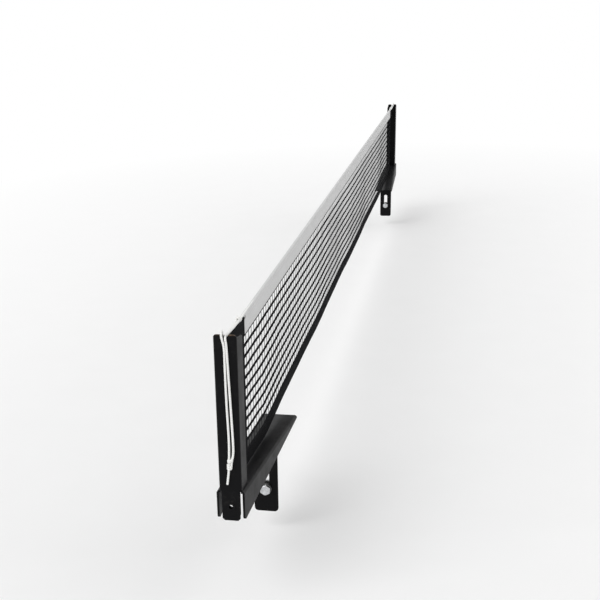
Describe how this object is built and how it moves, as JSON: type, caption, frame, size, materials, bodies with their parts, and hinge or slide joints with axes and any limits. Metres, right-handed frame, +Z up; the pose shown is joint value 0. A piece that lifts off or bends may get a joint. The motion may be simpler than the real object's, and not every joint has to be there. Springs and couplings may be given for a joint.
{
  "type": "table tennis net clamp",
  "caption": "Table tennis net stretched between identical bolt-on clamps: channel posts on sloping arms, each with a slotted leaf under it for height adjustment.",
  "frame": {"origin": "middle of the net at playing-surface level", "axes": "+Y along the net from the near clamp to the far clamp, +X across the net, to the right seen from outside the near clamp, +Z up"},
  "size_m": [0.0394, 1.8398, 0.2454],
  "materials": {
    "black_coat": "semi-gloss black coat on sheet steel",
    "zinc": "bright zinc plate",
    "white_cord": "braided polyester cord",
    "white_tape": "woven cotton tape",
    "black_webbing": "woven polyester webbing",
    "black_mesh": "knotted polyester mesh"
  },
  "bodies": {
    "table_bolts": {"near_bolt": "zinc", "near_washers": "zinc", "near_nut": "zinc", "far_bolt": "zinc", "far_washers": "zinc", "far_nut": "zinc"},
    "near_clamp": {"near_arm": "black_coat", "near_mount_angle": "black_coat", "near_post": "black_coat", "near_post_rivet": "black_coat", "near_end_band": "black_webbing", "near_corner_patch": "black_webbing", "near_tie_cord": "white_cord", "near_front_knot": "white_cord", "near_net_knot": "white_cord", "net_mesh": "black_mesh", "top_tape": "white_tape", "net_cord": "white_cord", "lower_hem": "black_webbing", "far_end_band": "black_webbing", "far_corner_patch": "black_webbing", "far_net_knot": "white_cord"},
    "far_clamp": {"far_arm": "black_coat", "far_mount_angle": "black_coat", "far_post": "black_coat", "far_post_rivet": "black_coat", "far_tie_cord": "white_cord", "far_front_knot": "white_cord"}
  },
  "joints": [
    {"name": "near_height", "type": "slide", "parent": "table_bolts", "child": "near_clamp", "axis": [0, 0, 1], "range_m": [-0.02, 0.003]},
    {"name": "far_height", "type": "slide", "parent": "table_bolts", "child": "far_clamp", "axis": [0, 0, 1], "range_m": [-0.02, 0.003]}
  ],
  "couplings": [
    {"joint": "far_height", "follows": "near_height", "ratio": 1}
  ]
}
